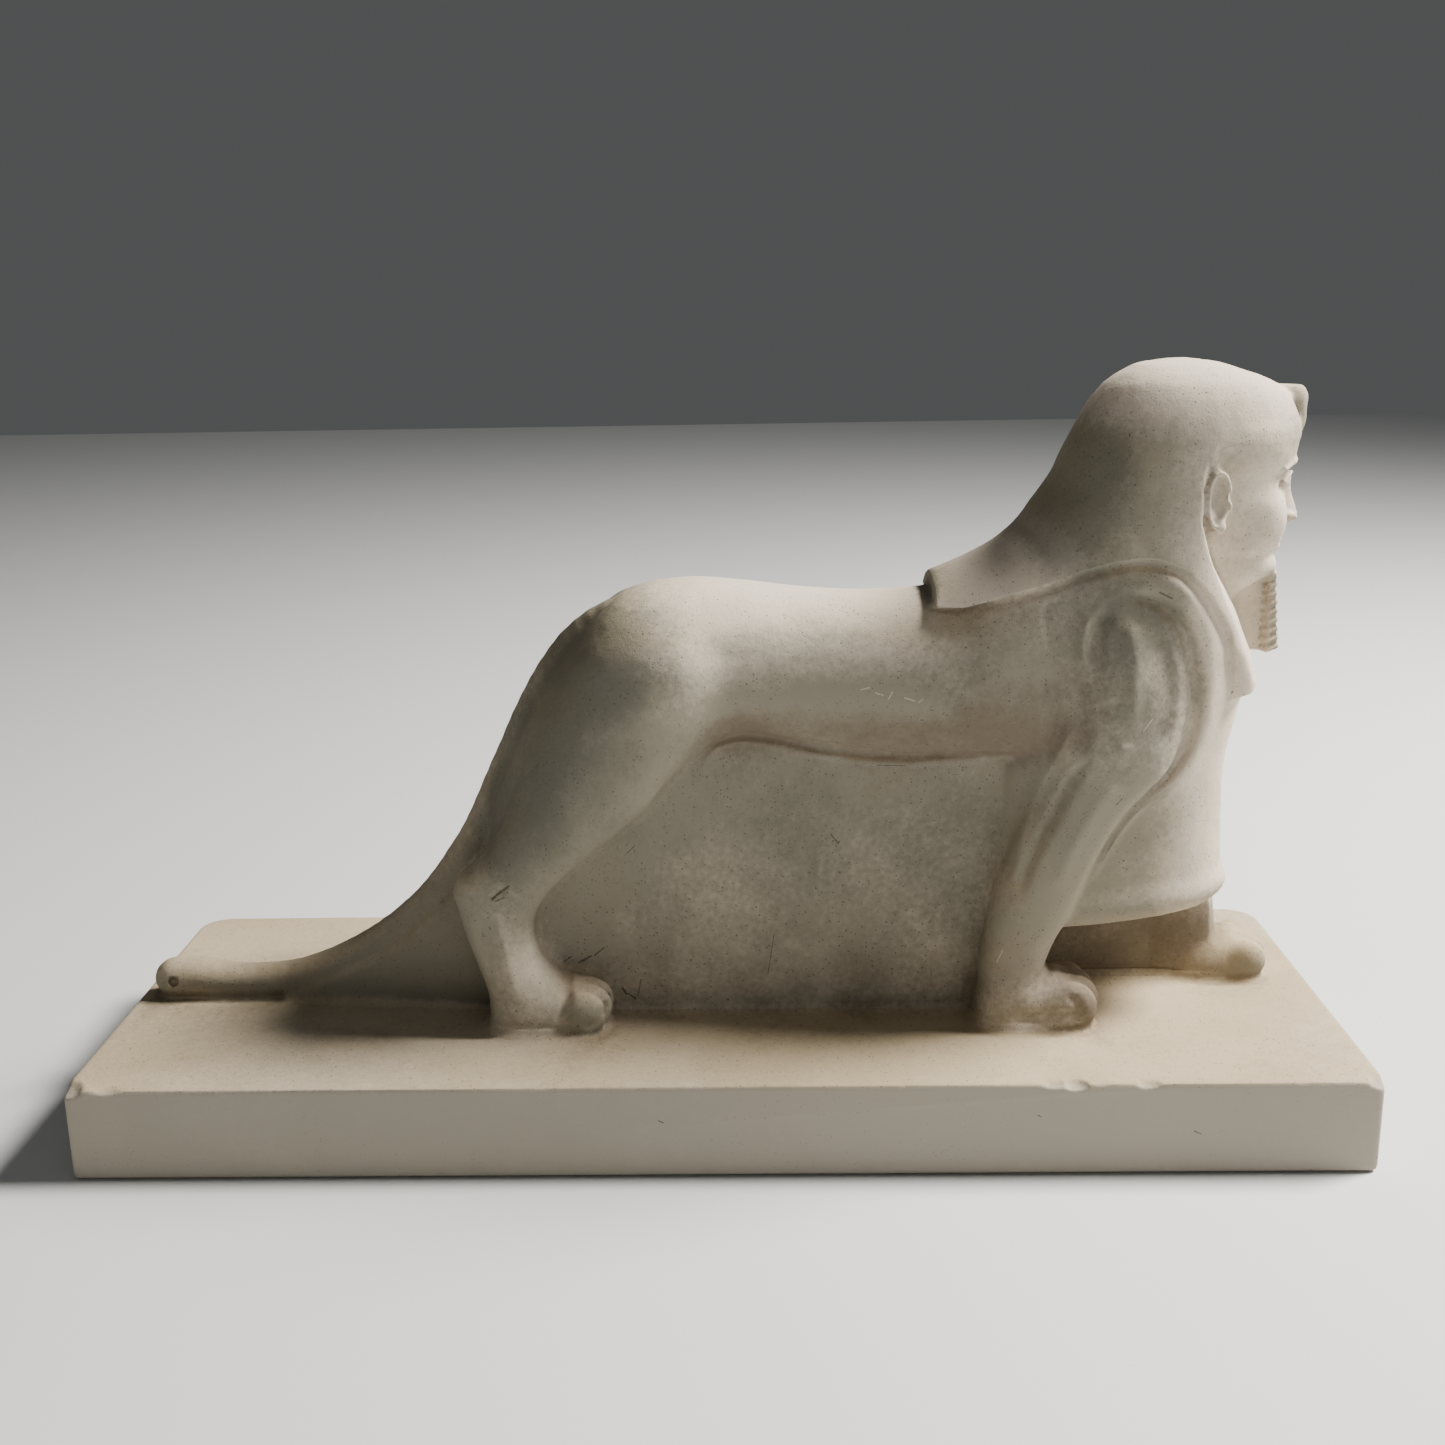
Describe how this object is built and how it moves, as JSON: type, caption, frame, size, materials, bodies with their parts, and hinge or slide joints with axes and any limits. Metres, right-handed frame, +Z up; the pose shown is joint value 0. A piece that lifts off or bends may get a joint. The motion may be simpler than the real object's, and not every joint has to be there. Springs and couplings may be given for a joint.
{
  "type": "sphinx statue",
  "caption": "Striding sphinx in a headcloth and square beard, cast in one with a support wall and a rectangular plinth.",
  "frame": {"origin": "middle of the plinth's underside", "axes": "+X from the tail to the head along the plinth, +Y across the plinth to the side of the leading foreleg, +Z up"},
  "size_m": [0.45, 0.158, 0.2697],
  "materials": {
    "plaster": "matt cast plaster, cream on the raised parts, grey-beige on the sides, with olive-brown grime in the hollows and small air-bubble pits"
  },
  "bodies": {
    "root": {"sphinx_cast": "plaster"}
  },
  "joints": []
}
